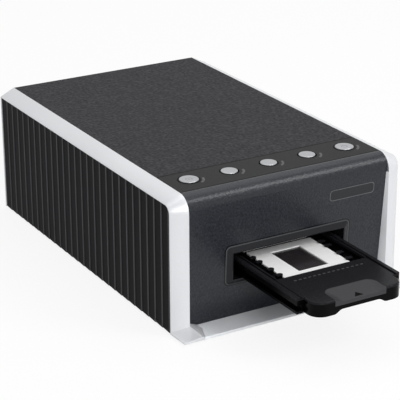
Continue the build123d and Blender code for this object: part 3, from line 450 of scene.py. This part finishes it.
strip_plastic = Finish("strip_plastic", {"Roughness": 0.4, "Specular IOR Level": 0.03})
smooth = strip_plastic.mix(
    strip_plastic.noise(500.0), (0.02, 0.02, 0.0205), (0.03, 0.03, 0.0305)
)
strip_y = strip_plastic.axis("Y")
row_y = strip_y - button_row
row_x = strip_plastic.axis("X") / button_pitch
from_button = (row_x - row_x.maths("ROUND")) * button_pitch
reach = (from_button * from_button + row_y * row_y).root()
arc = (reach - arc_radius).size().below(arc_width / 2, print_soft)
arc = arc * (from_button + row_y * arc_lean).above(arc_from, arc_soft)
arc = arc * (row_y - from_button * arc_skew).below(-arc_depth, arc_soft)
strokes = (from_button + row_y).maths("MODULO", stroke_pitch).size().above(stroke_gap, print_soft)
printed = strip_plastic.mix(arc * strokes * print_share, smooth, (0.16, 0.16, 0.16))
# Painted shade: a near-black line along the strip's back and front edges, where the gaps to the cover
# and the front lie in shade.
back_seam_shade = (strip_y - strip_high.y).size().below(seam_shade_half, print_soft)
front_seam_shade = (strip_y - strip_low.y).size().below(seam_shade_half, print_soft)
strip_plastic.mottle(back_seam_shade + front_seam_shade, printed, (0.001, 0.001, 0.001))
strip_plastic.bump(strip_plastic.noise(1500.0), 0.00003)
strip_plastic.on("button_strip")

# ---- Buttons ----
# Turned metal discs with fine rings from the lathe. The two large ones at the ends are dished, carry
# an engraved sign each, and sit in smoked rings that light up.
face_sink = 0.00005
face_soft = 0.0001
turning_scale = 2600.0
sign_soft = 0.0001
sign_share = 0.7
sign_ink = (0.1, 0.1, 0.11)
sign_frame = (0.0021, 0.0016, 0.0004)
frame_stroke = 0.00022
dot_radius = 0.0005
hoop_radius = 0.0019
hoop_stroke = 0.00025
hoop_opening = 0.0008
bar_from = 0.0006
bar_to = 0.0026


class TurnedMetal(Finish):
    """Button metal with turning marks round its own middle, and black plastic below the face."""

    def __init__(self, button, middle_x):
        super().__init__("metal_" + button, {"Roughness": 0.3})
        face = self.axis("Z").above(strip_high.z - face_sink, face_soft)
        self.set({"Metallic": face * 0.9})
        self.x = self.axis("X") - middle_x
        self.y = self.axis("Y") - button_row
        self.reach = (self.x * self.x + self.y * self.y).root()
        rings = self.node("ShaderNodeCombineXYZ", None, {"X": self.reach})
        turning = self.node("ShaderNodeTexNoise", None, {"Vector": rings, "Scale": turning_scale})
        turned = self.mix(turning, (0.26, 0.27, 0.28), (0.5, 0.51, 0.53))
        self.shade = self.mix(face, (0.002, 0.002, 0.002), turned)
        self.set({"Base Color": self.shade})
        self.bump(turning, 0.00002)
        self.on(button)

    def engrave(self, sign):
        self.mottle(sign * sign_share, self.shade, sign_ink)


for name, place in (("button_2", -button_pitch), ("button_3", 0.0), ("button_4", button_pitch)):
    TurnedMetal(name, place)
scan = TurnedMetal("scan_button", -2 * button_pitch)
frame_line = outside(scan.x, scan.y, *sign_frame).size().below(frame_stroke, sign_soft)
dot = scan.reach.below(dot_radius, sign_soft)
scan.engrave(frame_line + dot)
power = TurnedMetal("power_button", 2 * button_pitch)
hoop = (power.reach - hoop_radius).size().below(hoop_stroke, sign_soft)
closed = 1.0 - power.x.size().below(hoop_opening, sign_soft) * power.y.above(0.0, sign_soft)
bar = power.x.size().below(hoop_stroke, sign_soft)
bar = bar * power.y.above(bar_from, sign_soft) * power.y.below(bar_to, sign_soft)
power.engrave((hoop * closed).larger(bar))
smoked = Finish("smoked_rings", {"Base Color": (0.002, 0.002, 0.0022), "Roughness": 0.3})
smoked.set({"Specular IOR Level": 0.02})
smoked.bump(smoked.noise(800.0), 0.00001)
smoked.on("ring_light_left", "ring_light_right")

# ---- Side panels ----
# Matt black plastic, ribbed like clapboard and let into the side frames: each strip slopes out
# towards the front and steps in, and a painted highlight lightens a thin band at the edge of each
# step.
panel_low, panel_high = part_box("left_side_panel")
rib_pitch = 0.0094
rib_start = panel_low.y + (panel_high.y - panel_low.y) % rib_pitch / 2
rib_shift = 0.03
rib_highlight_share = 0.13
rib_soft = 0.04
side_plastic = Finish("side_plastic", {"Roughness": 0.6, "Specular IOR Level": 0.05})
rib_phase = ((side_plastic.axis("Y") - rib_start) / rib_pitch + rib_shift).maths("FRACT")
# Painted highlight: a paler band at each step, standing in for the line of light that the step's edge
# catches.
painted_rib_highlight = rib_phase.below(rib_highlight_share, rib_soft)
matt = side_plastic.mix(
    side_plastic.noise(600.0), (0.0015, 0.0015, 0.002), (0.005, 0.005, 0.006)
)
side_plastic.mottle(painted_rib_highlight, matt, (0.075, 0.075, 0.08))
side_plastic.bump(side_plastic.noise(1400.0), 0.00004)
side_plastic.on("left_side_panel", "right_side_panel")

# ---- Slide holder ----
# Semi-gloss black moulding with a scooped handle, a row of scale marks and an arrowhead. Its top is
# painted lighter than its sides as a painted sheen, and the scoop lighter still as a painted
# reflection.
# The small catches along its pockets are clipped in and have the same finish.
holder_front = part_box("film_holder")[0].y
plate_side = 0.0415
plate_soft = 0.0006
scoop_bottom = 0.0385
mark_row = 0.0365
mark_from = -0.026
mark_to = 0.029
mark_pitch = 0.0036
mark_half = 0.0006
mark_share = 0.27
mark_soft = 0.05
arrow_base = 0.00175
arrow_length = 0.00475
arrow_half = 0.00335
scoop_middle = 0.0016
scoop_half = (0.0193, 0.0147)
scoop_corner = 0.007
scoop_inset = 0.0003
scoop_soft = 0.0004

holder_plastic = Finish("holder_plastic", {"Specular IOR Level": 0.06})
across = holder_plastic.axis("X")
along = holder_plastic.axis("Y") - holder_front
height = holder_plastic.axis("Z")
on_top = height.above(scoop_bottom, print_soft)
grain = holder_plastic.noise(900.0)
# Painted sheen: the top of the moulding, above plate_side, is given a lighter colour than its
# near-black sides.
below = holder_plastic.mix(grain, (0.0005, 0.0005, 0.0006), (0.002, 0.002, 0.0023))
painted_top_sheen = holder_plastic.mix(grain, (0.007, 0.007, 0.008), (0.016, 0.016, 0.019))
moulding_with_top_sheen = holder_plastic.mix(height.above(plate_side, plate_soft), below, painted_top_sheen)

marks = (along - mark_row).size().below(mark_half, print_soft)
marks = marks * across.above(mark_from, print_soft) * across.below(mark_to, print_soft)
mark_phase = ((across - mark_from) / mark_pitch).maths("FRACT")
marks = marks * (mark_phase - 0.5).size().below(mark_share, mark_soft)
marked = holder_plastic.mix(marks * on_top * print_share, moulding_with_top_sheen, (0.075, 0.075, 0.08))
# Painted reflection: the scoop in the handle's top is given a lighter colour, standing in for the
# light its dished surface reflects.
painted_scoop_sheen = outside(across, along - scoop_middle, *scoop_half, scoop_corner)
painted_scoop_sheen = painted_scoop_sheen.below(-scoop_inset, scoop_soft) * on_top
with_scoop_sheen = holder_plastic.mix(painted_scoop_sheen, marked, (0.045, 0.045, 0.048))
from_tip = arrow_base + arrow_length - along
arrow = (across.size() - from_tip * (arrow_half / arrow_length)).below(0.0, print_soft)
arrow = arrow * along.above(arrow_base, print_soft) * on_top
holder_plastic.mottle(arrow, with_scoop_sheen, (0.001, 0.001, 0.001))
holder_plastic.set({"Roughness": arrow * 0.5 + 0.22})
holder_plastic.bump(grain, 0.00003)
holder_plastic.on("film_holder", "slide_catches")

# ---- Mounted slides ----
# White plastic mounts that lie in the holder's pockets under the catches, each with one frame of
# dark developed film clamped in its window.
mount_plastic = Finish("mount_plastic", {"Roughness": 0.5})
mount_plastic.mottle(mount_plastic.noise(300.0), (0.86, 0.86, 0.86), (0.93, 0.93, 0.92))
mount_plastic.bump(mount_plastic.noise(1500.0), 0.00002)
mount_plastic.on("slide_mounts")
film = Finish("developed_film", {"Roughness": 0.2})
film.mottle(film.noise(90.0), (0.012, 0.011, 0.012), (0.03, 0.026, 0.028))
film.on("slide_films")
